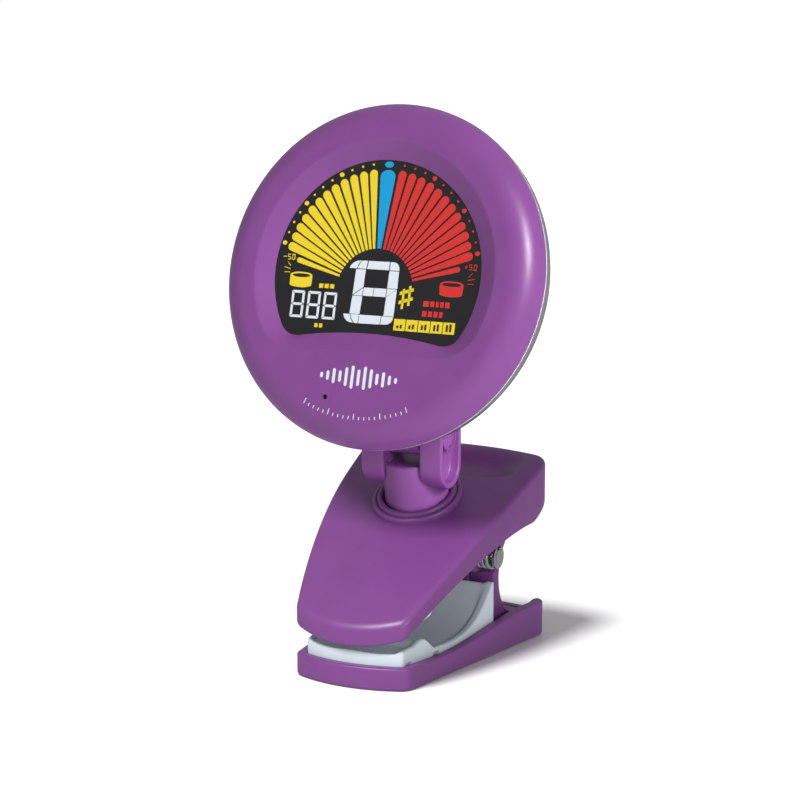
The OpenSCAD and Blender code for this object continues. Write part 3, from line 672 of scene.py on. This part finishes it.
def bezel():
    start = math.asin((EDGE_R - FACE_Z) / EDGE_R)
    rings = [ring_at(CREST_R + EDGE_R * math.cos(a), FACE_Z - EDGE_R + EDGE_R * math.sin(a))
             for a in np.linspace(start, math.pi / 2, 20)]
    for f in np.linspace(0.12, 1, 7):
        rings.append(ring_at(CREST_R + (RECESS - CREST_R) * f, FACE_Z))
    drop, soft = FACE_Z - LENS_Z - 0.12, 0.05
    for t in np.linspace(0.04, 1, 20):
        fall = drop * (1 + soft) * t * t / (t + soft)
        rings.append(ring_at(RECESS + (WINDOW - RECESS) * t, FACE_Z - fall))
    rings.append(ring_at(WINDOW, LENS_Z + 0.04))
    wall = 1.8
    rings.append(ring_at(WINDOW + 0.8, LENS_Z + 0.04))
    rings.append(ring_at(np.maximum(RECESS, WINDOW + 1.0), LENS_Z + 0.3))
    for a in np.linspace(math.pi / 2, math.asin(1 / (EDGE_R - wall)), 8):
        rings.append(ring_at(CREST_R + (EDGE_R - wall) * math.cos(a),
                             FACE_Z - EDGE_R + (EDGE_R - wall) * math.sin(a)))
    shell = piece("bezel_shell", *skin(rings, loop=True), MAT["case"], "head", "case_purple", HEAD,
                  replaces=("front_bezel",), crease=44)
    cut(shell, *revolve([(0, 0), (0.42, 0), (0.42, 8), (0, 8)], 32, MIC_AT), HEAD, crease=44)
    # The raised lip is real geometry; its near-white finish is a painted highlight.
    lip = [(26.1, -0.03), (27.9, -0.03), (27.98, -0.08), (28.0, -0.18), (27.98, -0.3), (27.9, -0.36),
           (26.1, -0.36)]
    piece("trim_lip", *revolve(lip, 256), MAT["lip"], "head", "trim_silver", HEAD, crease=50)
    band = [(26.1, -0.4), (27.65, -0.4), (27.7, -0.46), (27.7, -2.38), (27.65, -2.44), (26.1, -2.44)]
    piece("trim_band", *revolve(band, 256), MAT["trim"], "head", "trim_silver", HEAD,
          replaces=("trim_ring",), crease=50)


def lens():
    out = WINDOW + 1.2
    rings = [[(0, 0, LENS_Z)], ring_at(out * 0.5, LENS_Z), ring_at(out - 0.1, LENS_Z),
             ring_at(out, LENS_Z - 0.1), ring_at(out, LENS_Z - 0.75), [(0, 0, LENS_Z - 0.75)]]
    piece("display_window", *skin(rings), MAT["lens"], "head", "lens_black", HEAD,
          replaces=("display_lens",))


INK_T = 0.02


def printed(name, outlines, mat, z=LENS_Z + 0.008, slot="lcd_glass", surface=None):
    """Thin printed shapes on the display, or on the face of the bezel where surface gives its height."""
    parts = []
    for outline in outlines:
        verts, faces = prism(outline, 0, INK_T)
        if surface:
            verts = [(x, y, float(surface(math.hypot(x, y))) - 0.02 + 1.6 * dz) for x, y, dz in verts]
        else:
            verts = [(x, y, z + dz) for x, y, dz in verts]
        parts.append((verts, faces))
    return piece(name, *joined(parts), mat, "head", slot, HEAD, merge=1e-6)


FAN = np.array([0.0, -2.5])
FAN_STEP = 5.55
FIRST_BAR = 7.9
BARS = 13
HUB = np.array([0.0, -2.82])
HUB_R = 6.84
TIP_R = 16.9
DOT_RING_R = 17.72
CENTRE = np.zeros(2)


def along(angle, centre, radius):
    """How far from the fan's centre a ray at angle from upright meets a circle."""
    d = np.array([math.sin(math.radians(angle)), math.cos(math.radians(angle))])
    q = FAN - centre
    b = q @ d
    return -b + math.sqrt(b * b - q @ q + radius * radius)


def bar(angle, near, far, w0, w1, tip=1.0):
    """One ray of the fan with a rounded far end; tip is the roundness along the ray."""
    d = np.array([math.sin(math.radians(angle)), math.cos(math.radians(angle))])
    n = np.array([d[1], -d[0]])
    s = far - w1 * tip
    points = [FAN + near * d - w0 * n, FAN + near * d + w0 * n]
    for a in np.linspace(0, math.pi, 13):
        points.append(FAN + (s + w1 * tip * math.sin(a)) * d + w1 * math.cos(a) * n)
    return [tuple(p) for p in points]


def oval(cx, cy, rx, ry, n=24, a0=0, a1=360):
    return [(cx + rx * math.cos(math.radians(a)), cy + ry * math.sin(math.radians(a)))
            for a in np.linspace(a0, a1, n, endpoint=a1 - a0 < 360)]


def fan_side(sign):
    shapes = []
    for i in range(BARS):
        angle = sign * (FIRST_BAR + FAN_STEP * i)
        near = along(angle, HUB, HUB_R)
        if i < BARS - 1:
            shapes.append(bar(angle, near, along(angle, CENTRE, TIP_R), 0.205, 0.7))
            s = along(angle, CENTRE, DOT_RING_R)
            p = FAN + s * np.array([math.sin(math.radians(angle)), math.cos(math.radians(angle))])
            r = 0.37 if i % 4 == 3 else 0.19
            shapes.append(oval(p[0], p[1], r * (1.15 if r > 0.3 else 1), r, 18))
        else:
            shapes.append(bar(angle, near, 15.15, 0.18, 0.44))
    return shapes


def seven(x, y, w, h, t, which="abcdefg", g=0.07):
    """Seven-segment digit with its lower left corner at x, y; t is a segment's thickness and g the gap."""
    m = y + h / 2

    def flat(edge, inwards):
        return [(x + g, edge), (x + w - g, edge), (x + w - t - g + 0.02, edge + inwards),
                (x + t + g, edge + inwards)]

    parts = {
        "a": flat(y + h, -t), "d": flat(y, t),
        "g": [(x + g + t / 3, m), (x + t + g, m + t / 2), (x + w - t - g, m + t / 2),
              (x + w - g - t / 3, m), (x + w - t - g, m - t / 2), (x + t + g, m - t / 2)],
        "f": [(x, m + g), (x + t, m + t / 2 + g), (x + t, y + h - t - g), (x, y + h - g)],
        "e": [(x, m - g), (x, y + g), (x + t, y + t + g), (x + t, m - t / 2 - g)],
        "b": [(x + w, m + g), (x + w, y + h - g), (x + w - t, y + h - t - g), (x + w - t, m + t / 2 + g)],
        "c": [(x + w, m - g), (x + w - t, m - t / 2 - g), (x + w - t, y + t + g), (x + w, y + g)],
    }
    return [parts[k] for k in which]


def fifty(x, y):
    """The number at either end of the scale."""
    w, h, t, step = 0.55, 0.95, 0.13, 0.8
    return seven(x, y, w, h, t, "afgcd", 0.0) + seven(x + step, y, w, h, t, "abcdef", 0.0)


def big_digit():
    """The large segmented digit, with a serif at its upper and lower left."""
    l0, l1, r0, r1 = -3.72, -1.95, 2.3, 4.05
    t0, t1, m0, m1, b0, b1 = 0.66, 1.98, -3.66, -2.32, -8.12, -6.72
    g = 0.08
    return [
        [(-4.85, t0), (-4.55, 1.25), (-4.0, 1.7), (-3.3, 1.93), (-2.75, 1.95), (-3.25, 1.45), (-3.5, t0)],
        [(-3.38, t0), (-3.12, 1.4), (-2.62, 1.95), (l1 + 0.28, t1), (l1 + 0.1, t0)],
        [(l1 + 0.26, t0), (l1 + 0.44, t1), (r0 - g, t1), (r0 - g, t0)],
        [(r0 + g, t0), (r0 + g, t1)] + arc(r1 - 1.1, t1 - 1.1, 1.1, 80, 8, 7) + [(r1, t0)],
        [(l0, m0 + 0.1), (l0 + 0.08, t0 - 0.12), (l1 + 0.08, t0 - 0.12), (l1, m1 + g), (l1 - 0.1, m1)],
        [(r0, m1 + g), (r0 + 0.05, t0 - 0.12), (r1, t0 - 0.12), (r1 + 0.05, m1 + 0.1)],
        [(l0 + 0.1, m0), (l1 - 0.02, m1 - 0.08), (l1 - 0.02, m0)],
        [(l1 + 0.1, m0), (l1 + 0.1, m1), (-0.1, m1), (-0.1, m0)],
        [(0.0, m0), (0.0, m1), (r0 - 0.1, m1), (r0 - 0.1, m0)],
        [(r0 + 0.02, m0 + 0.08), (r0 + 0.02, m1), (r1 - 0.1, m1)],
        [(l0, m0 - g), (l1, m0 - g), (l1 - 0.12, b1 + g), (l0 - 0.15, b1 + g)],
        [(r0, m0), (r1, m1), (r1 - 0.05, b1 + g), (r0 - 0.05, b1 + g)],
        [(-4.95, b1), (-4.75, -7.3), (-4.2, -7.85), (-3.55, -8.05), (-3.05, b0 + 0.05), (-3.55, -7.5),
         (-3.78, b1)],
        [(-3.66, b1), (-3.4, -7.45), (-2.85, b0 + 0.03), (l1 - 0.28, b0), (l1 - 0.2, b1)],
        [(l1 - 0.08, b1), (l1 - 0.16, b0), (1.72, b0 + 0.05), (1.8, b1)],
        [(1.92, b1), (1.84, b0 + 0.06)] + arc(r1 - 1.3, b0 + 1.3, 1.2, -80, -10, 7) + [(r1 - 0.05, b1)],
    ]


def drum(cx, cy):
    """A shallow drum seen from the side."""
    shell = [(cx - 2.05, cy + 0.35)] + oval(cx, cy + 0.5, 2.0, 0.5, 14, 170, 10) + [(cx + 2.05, cy + 0.35)]
    return shell + oval(cx, cy - 1.1, 2.0, 0.42, 14, 0, -180)


def rays(x0, y0, sign):
    """Three short strokes that fan out from a drum."""
    strokes = []
    for rise, angle, reach in ((1.05, 45, 0.85), (0.55, 14, 1.15), (0.0, 0, 1.0)):
        d = np.array([math.cos(math.radians(angle)), math.sin(math.radians(angle))])
        n = np.array([-d[1], d[0]]) * 0.06
        p, q = np.array([0.0, rise]), np.array([0.0, rise]) + reach * d
        strokes.append([(x0 + sign * x, y0 + y) for x, y in (p - n, q - n, q + n, p + n)])
    return strokes


LEVELS, LEVEL_PITCH = 5, 2.16


def display():
    printed("scale_flat", fan_side(-1), MAT["ink_yellow"])
    printed("scale_sharp", fan_side(1), MAT["ink_red"])
    blue = [bar(0, 6.55, 19.25, 0.34, 1.34, 0.85), oval(0, 17.6, 0.78, 0.5, 26)]
    printed("scale_centre", blue, MAT["ink_blue"])
    white = big_digit()
    for i in range(3):
        white += seven(-14.72 + 2.95 * i, -7.88, 2.35, 4.4, 0.42)
    printed("digits", white, MAT["ink_white"])
    yellow = [drum(-13.43, -1.45)] + rays(-15.6, -0.62, -1)
    for x in (5.3, 6.35):
        y0 = -5.4 if x < 6 else -4.85
        yellow.append([(x - 0.2, y0), (x + 0.2, y0 + 0.1), (x + 0.2, y0 + 3.3), (x - 0.2, y0 + 3.2)])
    for y in (-4.65, -3.2):
        yellow.append([(4.62, y), (7.0, y + 0.75), (7.0, y + 1.3), (4.62, y + 0.55)])
    yellow += [box(4.24 + LEVEL_PITCH * i, -8.82, 6.25 + LEVEL_PITCH * i, -6.97) for i in range(LEVELS)]
    yellow += [box(-9.95 + 1.0 * i, -2.85, -9.2 + 1.0 * i, -2.15) for i in range(3)]
    yellow += [box(-9.95 + 0.85 * i, -9.25, -9.35 + 0.85 * i, -8.6) for i in range(2)]
    yellow += fifty(-16.35, 1.4)
    yellow.append(box(-17.15, 1.83, -16.6, 1.96))
    printed("marks_yellow", yellow, MAT["ink_yellow"])
    red = [drum(13.49, -1.45)] + rays(16.2, -0.7, 1)
    red += fifty(16.1, 1.45)
    red += [box(15.3, 1.86, 15.85, 1.99), box(15.51, 1.65, 15.64, 2.2)]
    for y, widths in ((-4.72, (1.0, 0.7, 0.5, 0.6, 0.8)), (-6.3, (0.8, 0.7, 0.7, 0.6))):
        x = 8.95
        for w in widths:
            red.append(box(x, y, x + w, y + 0.9))
            x += w + 0.25
    printed("marks_red", red, MAT["ink_red"])
    black = [oval(c, -1.02, 1.6, 0.3, 22) for c in (-13.43, 13.49)]
    for i in range(LEVELS):
        x = 5.24 + LEVEL_PITCH * i
        black.append(box(x - 0.5, -8.45, x - 0.15, -8.45 + 0.45 + 0.16 * i))
        black.append(box(x + 0.1, -8.45, x + 0.45, -8.45 + 0.6 + 0.16 * i))
    printed("marks_black", black, MAT["ink_black"], z=LENS_Z + 0.03)


def face_marks():
    """Plain level bars over a row of ticks."""
    bars = []
    heights = (0.9, 1.5, 2.4, 1.8, 3.0, 3.7, 2.6, 3.7, 3.0, 1.8, 2.4, 1.5, 0.9)
    pitch, y, r = 1.1, -16.9, 0.26
    for i, h in enumerate(heights):
        x, top = pitch * (i - len(heights) // 2), y + h / 2 - r
        bars.append(oval(x, top, r, r, 9, 0, 180) + oval(x, 2 * y - top, r, r, 9, 180, 360))
    printed("face_levels", bars, MAT["ink_white"], slot="diffuser_white", surface=face_z)
    ticks = []
    foot_r, half_w, step = 23.6, 0.07, 2.3
    for i in range(-10, 11):
        a, h = math.radians(step * i), 0.95 if i % 5 == 0 else 0.5
        side = np.array([math.cos(a), math.sin(a)]) * half_w
        low = np.array([math.sin(a), -math.cos(a)]) * foot_r
        high = low * (1 - h / foot_r)
        ticks.append([tuple(low - side), tuple(low + side), tuple(high + side), tuple(high - side)])
    printed("face_ticks", ticks, MAT["ink_white"], slot="diffuser_white", surface=face_z)


# ---- Button caps on the back -----------------------------------------------


def end_face(node, direction):
    """Middle and radius of the flat end that a CAD node turns towards a direction, in mm."""
    points = np.array([tuple(v.co) for v in frame["nodes"][node].data.vertices]) / MM
    along_it = points @ direction
    end = points[along_it > along_it.max() - 0.02]
    centre = (end.min(axis=0) + end.max(axis=0)) / 2
    return centre, float(np.linalg.norm(end - centre, axis=1).max())


def ring_sector(r0, r1, a0, a1, n=20):
    return arc(0, 0, r1, a0, a1, n) + arc(0, 0, r0, a1, a0, n)


def key_caps():
    """Soft-edged caps with plain signs: power, mode, up and down."""
    signs = {
        "power": [ring_sector(0.72, 0.96, -235, 55), box(-0.12, 0.3, 0.12, 1.05)],
        "mode": [box(-0.8, y, 0.8, y + 0.24) for y in (-0.62, -0.12, 0.38)],
        "up": [[(-0.85, -0.5), (0.85, -0.5), (0.0, 0.8)]],
        "down": [[(-0.85, 0.5), (0.0, -0.8), (0.85, 0.5)]],
    }
    for name, shapes in signs.items():
        centre, r = end_face(name + "_button", -DISPLAY_OUT)
        place = Place(centre, -DISPLAY_OUT)
        edge, top = 0.28, 0.3
        profile = [(0, -0.2), (r - 0.01, -0.2)]
        profile += arc(r - 0.01 - edge, top - edge, edge, 0, 90, 8) + [(0, top)]
        piece(name + "_cap", *revolve(profile, 64), MAT["key"], name + "_key", "button_grey", place)
        parts = [prism([(-u, -v) for u, v in shape], top - 0.03, top + 0.03) for shape in shapes]
        piece(name + "_sign", *joined(parts), MAT["ink_black"], name + "_key", "button_grey", place,
              merge=1e-6)


# ---- CAD nodes that keep their shape ---------------------------------------

NODE_LOOKS = {
    "pivot_pin": "steel", "pin_clip": "steel", "upper_pad": "pale", "swivel_screw": "steel",
    "swivel_washer": "steel", "wave_washer": "steel", "tilt_screw": "case", "tilt_nut": "steel",
    "tilt_washers": "steel", "back_cover": "case", "lcd_panel": "lcd", "light_diffuser": "white",
    "backlight_leds": "led", "zebra_strips": "rubber", "circuit_board": "board",
    "controller_chip": "chip", "small_parts": "tan", "microphone": "can", "buzzer": "chip",
    "piezo_pickup": "gold", "tact_switches": "chip", "coin_cell": "cell", "cell_spring": "gold",
    "cell_rim_contact": "gold", "case_screws": "steel", "battery_door": "back", "door_seal": "seal",
    "power_button": "key", "mode_button": "key", "up_button": "key", "down_button": "key",
    "upper_jaw": "clip", "lower_jaw": "clip", "jaw_insert": "pale", "swivel_yoke": "case",
    "front_bezel": "case", "trim_ring": "trim", "display_lens": "lens", "spring_left": "spring",
    "spring_right": "spring",
}


def dress_nodes():
    for name, look in NODE_LOOKS.items():
        for s in frame["nodes"][name].material_slots:
            s.material = MAT[look]


# ---- Stage -----------------------------------------------------------------


def fade_gloss(mat, near, far, level):
    """Lets a floor shine by level out to near, and less and less out to far."""
    nt = mat.node_tree
    coords = nt.nodes.new("ShaderNodeTexCoord")
    length = nt.nodes.new("ShaderNodeVectorMath")
    length.operation = "LENGTH"
    nt.links.new(coords.outputs["Object"], length.inputs[0])
    fade = nt.nodes.new("ShaderNodeMapRange")
    fade.inputs["From Min"].default_value = near
    fade.inputs["From Max"].default_value = far
    fade.inputs["To Min"].default_value = level
    fade.inputs["To Max"].default_value = 0.0
    nt.links.new(length.outputs["Value"], fade.inputs["Value"])
    nt.links.new(fade.outputs["Result"], nt.nodes["Principled BSDF"].inputs["Specular IOR Level"])


def stage():
    half, z = 60.0, -0.00005
    mesh = bpy.data.meshes.new("floor")
    corners = [(-half, -half, z), (half, -half, z), (half, half, z), (-half, half, z)]
    mesh.from_pydata(corners, [], [(0, 1, 2, 3)])
    floor = bpy.data.objects.new("floor", mesh)
    bpy.context.scene.collection.objects.link(floor)
    fade_gloss(MAT["floor"], 0.06, 0.2, 0.12)
    mesh.materials.append(MAT["floor"])
    floor.visible_glossy = False


def aim(light, azimuth, elevation, distance=0.0):
    """Puts a light on the line that leaves the head at an azimuth from -Y and an elevation."""
    a, e = math.radians(azimuth), math.radians(elevation)
    away = Vector((math.sin(a) * math.cos(e), -math.cos(a) * math.cos(e), math.sin(e)))
    obj = bpy.data.objects.new(light.name, light)
    obj.location = Vector(HEAD.origin * MM) + distance * away
    obj.rotation_euler = (-away).to_track_quat("-Z", "Y").to_euler()
    bpy.context.scene.collection.objects.link(obj)
    return obj


def group(name, objects):
    found = bpy.data.collections.new(name)
    for obj in objects:
        found.objects.link(obj)
    return found


def sun(name, azimuth, elevation, strength, lit, shading):
    """A broad light that falls on some objects only, and is shaded by some only."""
    light = bpy.data.lights.new(name, "SUN")
    light.energy = strength
    light.angle = math.radians(16)
    obj = aim(light, azimuth, elevation)
    obj.light_linking.receiver_collection = lit
    obj.light_linking.blocker_collection = shading


def key_lights():
    """One light for the floor, one for the clip below the head; the head has a softbox of its own."""
    carried = {"head", "door", "power_key", "mode_key", "up_key", "down_key"}
    pieces = [(bpy.data.objects[name], body) for name, body in RIDERS.items()]
    for body, nodes in frame["record"]["behaviour"]["bodies"].items():
        pieces += [(frame["nodes"][name], body) for name in nodes]
    clip = group("clip", [obj for obj, body in pieces if body not in carried])
    upper = group("upper", [obj for obj, body in pieces if body in carried or body == "yoke"])
    whole = group("whole", [obj for obj, body in pieces])
    floor = group("ground", [bpy.data.objects["floor"]])
    sun("floor_key", -25, 62, 3.4, floor, clip)
    sun("clip_key", -8, 48, 3.1, clip, whole)
    sun("clip_side", 60, 16, 1.0, clip, whole)
    side_light(upper)


def side_light(lit):
    """The head's softbox, to its right."""
    light = bpy.data.lights.new("side", "SPOT")
    light.energy = 88
    light.shadow_soft_size = 0.15
    light.spot_size = math.radians(14)
    light.spot_blend = 0.6
    aim(light, 66, 30, 0.42).light_linking.receiver_collection = lit


def room():
    """Even light from all round, and white behind the floor's far edge."""
    world = bpy.data.worlds.new("studio")
    world.use_nodes = True
    nt = world.node_tree
    soft = nt.nodes["Background"]
    soft.inputs["Color"].default_value = (1, 1, 1, 1)
    soft.inputs["Strength"].default_value = 0.37
    seen = nt.nodes.new("ShaderNodeBackground")
    seen.inputs["Color"].default_value = (1, 1, 1, 1)
    path = nt.nodes.new("ShaderNodeLightPath")
    mix = nt.nodes.new("ShaderNodeMixShader")
    nt.links.new(path.outputs["Is Camera Ray"], mix.inputs["Fac"])
    nt.links.new(soft.outputs["Background"], mix.inputs[1])
    nt.links.new(seen.outputs["Background"], mix.inputs[2])
    nt.links.new(mix.outputs["Shader"], nt.nodes["World Output"].inputs["Surface"])
    bpy.context.scene.world = world
    bpy.context.scene.view_settings.view_transform = "Standard"
    bpy.context.scene.view_settings.look = "None"


def camera():
    cam = bpy.data.cameras.new("camera")
    cam.lens = 99.0
    cam.sensor_width = 36.0
    cam.clip_start = 0.02
    cam.clip_end = 20.0
    obj = bpy.data.objects.new("camera", cam)
    azimuth, pitch, distance = math.radians(26.93), math.radians(10.49), 0.36402
    target = Vector((-0.00137, 0, 0.04284))
    ahead = Vector((-math.sin(azimuth) * math.cos(pitch), math.cos(azimuth) * math.cos(pitch),
                    -math.sin(pitch)))
    right = Vector((math.cos(azimuth), math.sin(azimuth), 0))
    up = right.cross(ahead)
    turn = Matrix((right, up, -ahead)).transposed().to_4x4()
    obj.matrix_world = Matrix.Translation(target - distance * ahead) @ turn
    bpy.context.scene.collection.objects.link(obj)
    bpy.context.scene.camera = obj


camera()
stage()
room()
dress_nodes()
upper_jaw()
lower_jaw()
jaw_insert()
spring_parts()
yoke()
bezel()
lens()
display()
face_marks()
key_caps()
key_lights()
